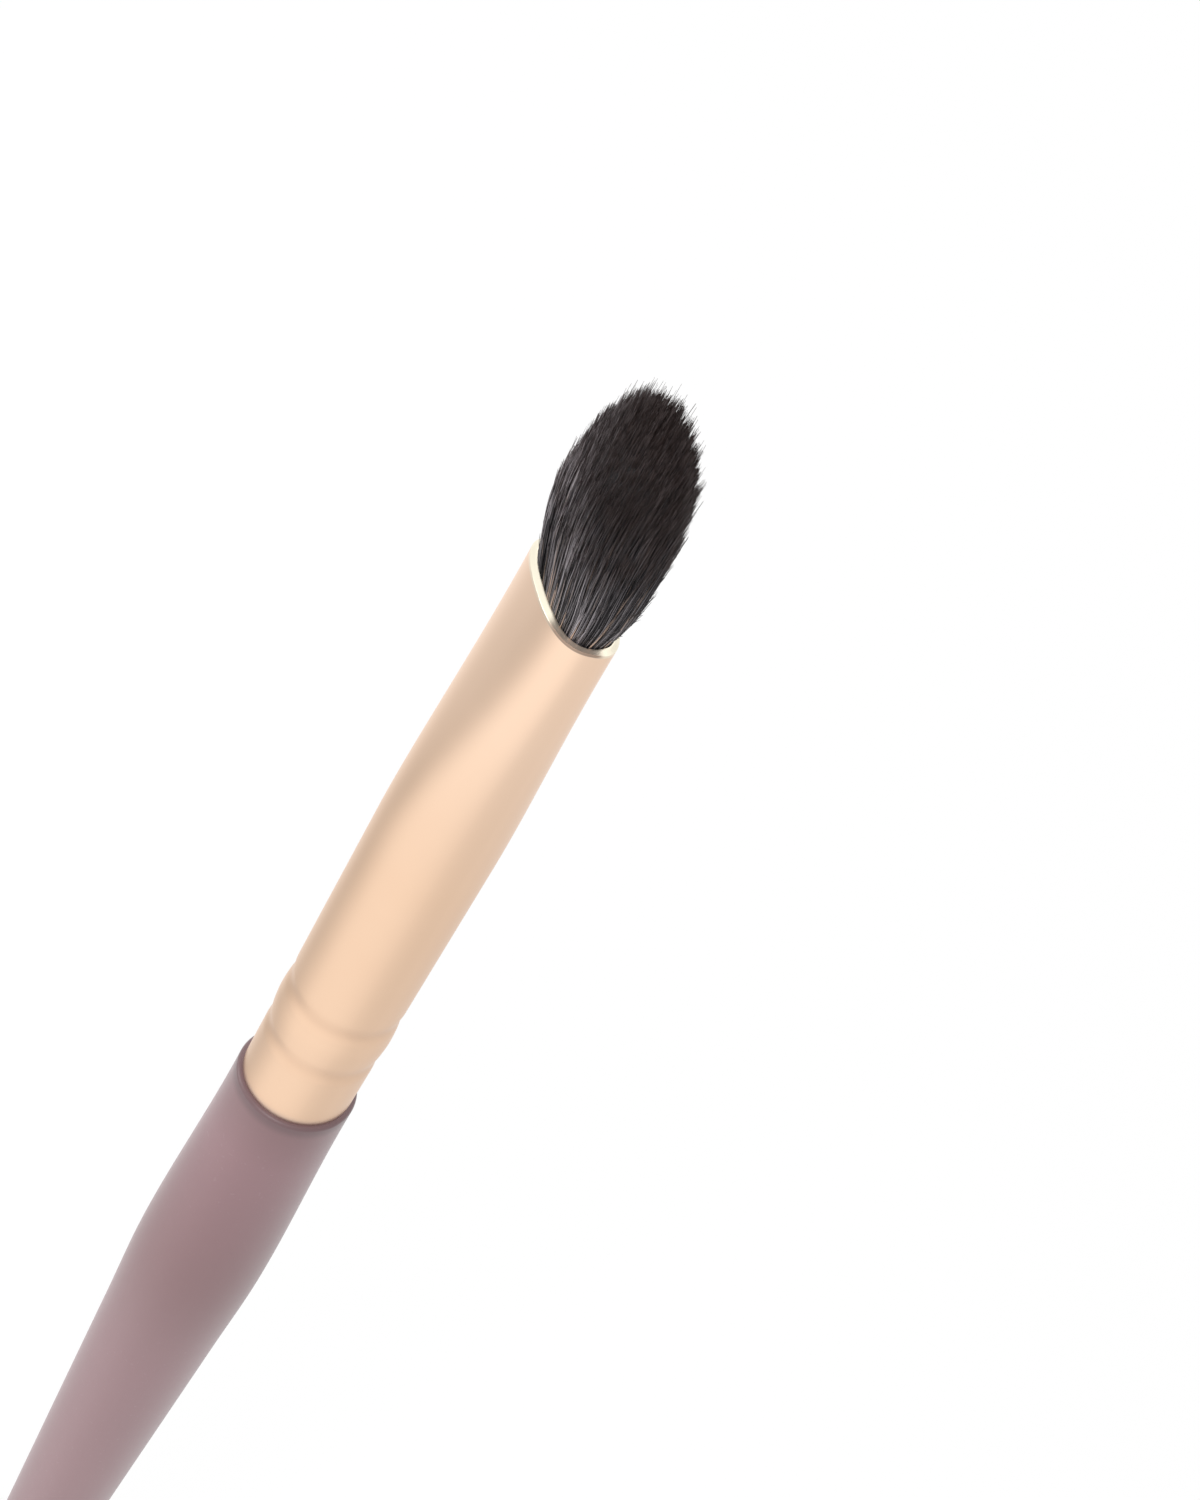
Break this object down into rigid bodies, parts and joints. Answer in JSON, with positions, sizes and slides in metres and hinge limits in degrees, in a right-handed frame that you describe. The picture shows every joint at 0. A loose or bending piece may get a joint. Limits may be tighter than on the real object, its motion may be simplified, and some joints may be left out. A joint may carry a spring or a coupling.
{
  "type": "eyeshadow brush",
  "caption": "Slim make-up brush: a dense oval tuft of dark hair in a pinched satin metal ferrule, on a turned, lacquered wooden handle that swells under the ferrule and tapers to a round tail.",
  "frame": {"origin": "middle of the handle's round tail end, on the axis of the brush", "axes": "+Z along the axis towards the tip of the tuft, X across the wide side of the pinched mouth, Y across its thin side"},
  "size_m": [0.0104, 0.0092, 0.1747],
  "materials": {
    "hair": "matte natural hair",
    "resin": "clear amber cured resin",
    "ferrule_metal": "satin anodised, pale rose gold",
    "glue": "cured adhesive",
    "handle_lacquer": "satin lacquer, dusty mauve"
  },
  "bodies": {
    "root": {"hair_tuft": "hair", "root_resin": "resin", "ferrule": "ferrule_metal", "tenon_glue": "glue", "handle": "handle_lacquer"}
  },
  "joints": []
}
